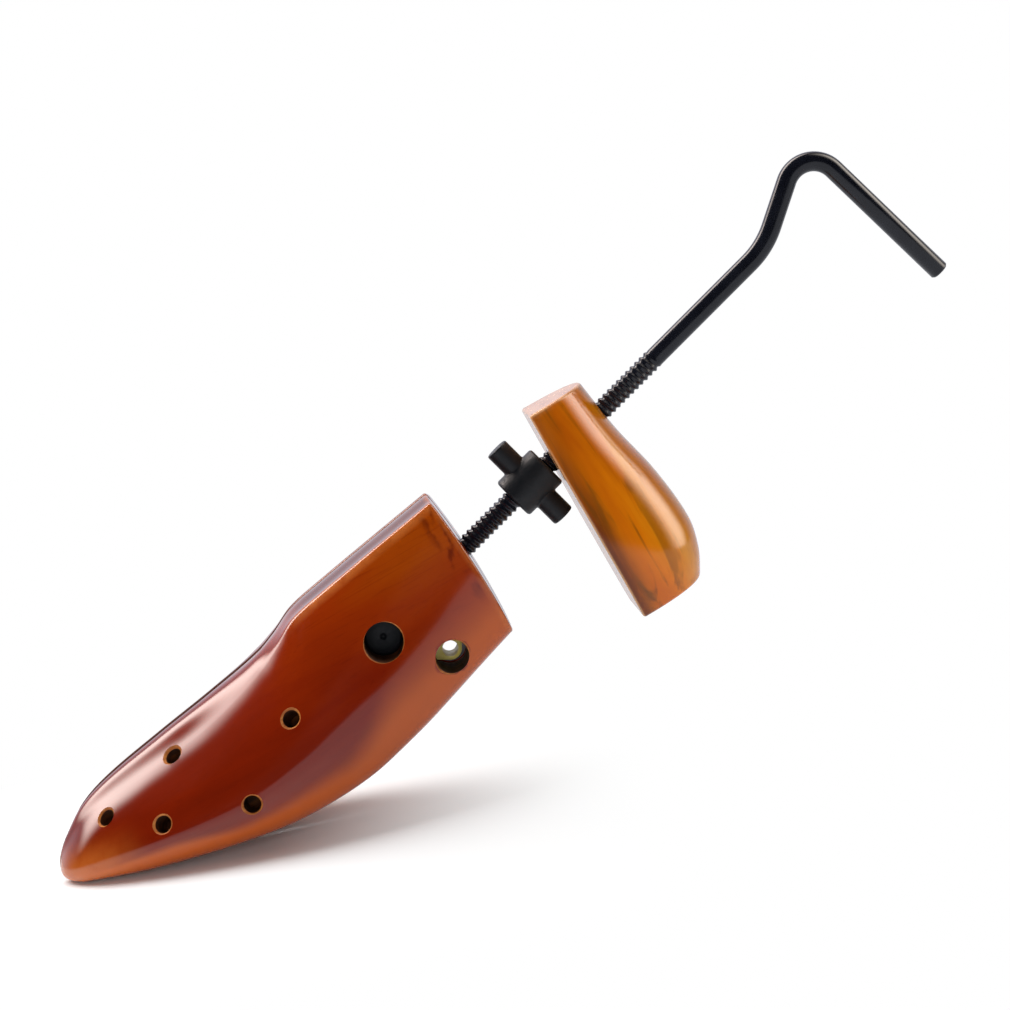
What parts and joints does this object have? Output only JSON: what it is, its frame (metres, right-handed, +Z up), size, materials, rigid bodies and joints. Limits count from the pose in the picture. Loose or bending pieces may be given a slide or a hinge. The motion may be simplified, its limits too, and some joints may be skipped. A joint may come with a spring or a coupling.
{
  "type": "shoe stretcher",
  "caption": "Wooden shoe stretcher: a split toe-shaped forepart opened by a bent crank rod and wedge, and a heel block pushed back by a pegged nut on the rod.",
  "frame": {"origin": "on the floor under the middle of the part's length and width, as it stands on its sole and heel block", "axes": "+X from the toe to the heel and crank, +Y across from one forepart half to the other, +Z up"},
  "size_m": [0.3346, 0.068, 0.0989],
  "materials": {
    "red_lacquered_wood": "gloss red-brown lacquer",
    "amber_lacquered_wood": "gloss amber lacquer",
    "black_rod": "gloss black",
    "black_casting": "satin black",
    "yellow_zinc": "yellow zinc plating",
    "plain_steel": "bright drawn steel",
    "spring_steel": "oiled spring steel"
  },
  "bodies": {
    "core": {"yoke": "yellow_zinc", "yoke_spacer": "yellow_zinc", "cross_nut": "black_casting", "front_spring": "spring_steel", "rear_spring": "spring_steel"},
    "left_half": {"left_last_half": "red_lacquered_wood", "left_ramp_plate": "plain_steel", "left_spring_pins": "plain_steel"},
    "right_half": {"right_last_half": "red_lacquered_wood", "right_ramp_plate": "plain_steel", "right_spring_pins": "plain_steel", "guide_pin": "plain_steel"},
    "spreader": {"wedge": "plain_steel", "swivel_pins": "plain_steel"},
    "crank": {"crank_rod": "black_rod"},
    "heel": {"heel_block": "amber_lacquered_wood"},
    "nut": {"length_nut": "black_casting"}
  },
  "joints": [
    {"name": "spreader_advance", "type": "slide", "parent": "core", "child": "spreader", "axis": [-0.9655, 0, -0.2605], "range_m": [-0.004, 0.015]},
    {"name": "crank_turn", "type": "hinge", "parent": "spreader", "child": "crank", "pos_m": [-0.04265, 0, 0.03521], "axis": [-0.9655, 0, -0.2605], "range_deg": [-720.1, 2700.1]},
    {"name": "left_spread", "type": "slide", "parent": "core", "child": "left_half", "axis": [0, -1, 0], "range_m": [-0.0012, 0.0045], "deforming": ["front_spring", "rear_spring"]},
    {"name": "right_spread", "type": "slide", "parent": "core", "child": "right_half", "axis": [0, 1, 0], "range_m": [-0.0012, 0.0045], "deforming": ["front_spring", "rear_spring"]},
    {"name": "heel_slide", "type": "slide", "parent": "core", "child": "heel", "axis": [0.9655, 0, 0.2605], "range_m": [-0.018, 0.026]},
    {"name": "nut_turn", "type": "hinge", "parent": "heel", "child": "nut", "pos_m": [0.01528, 0, 0.05084], "axis": [0.9655, 0, 0.2605], "range_deg": [-3240.1, 4680.1]}
  ],
  "couplings": [
    {"joint": "crank_turn", "follows": "spreader_advance", "rad_per_m": 3141.6},
    {"joint": "left_spread", "follows": "spreader_advance", "ratio": 0.3},
    {"joint": "right_spread", "follows": "spreader_advance", "ratio": 0.3},
    {"joint": "nut_turn", "follows": "heel_slide", "rad_per_m": 3141.6}
  ]
}
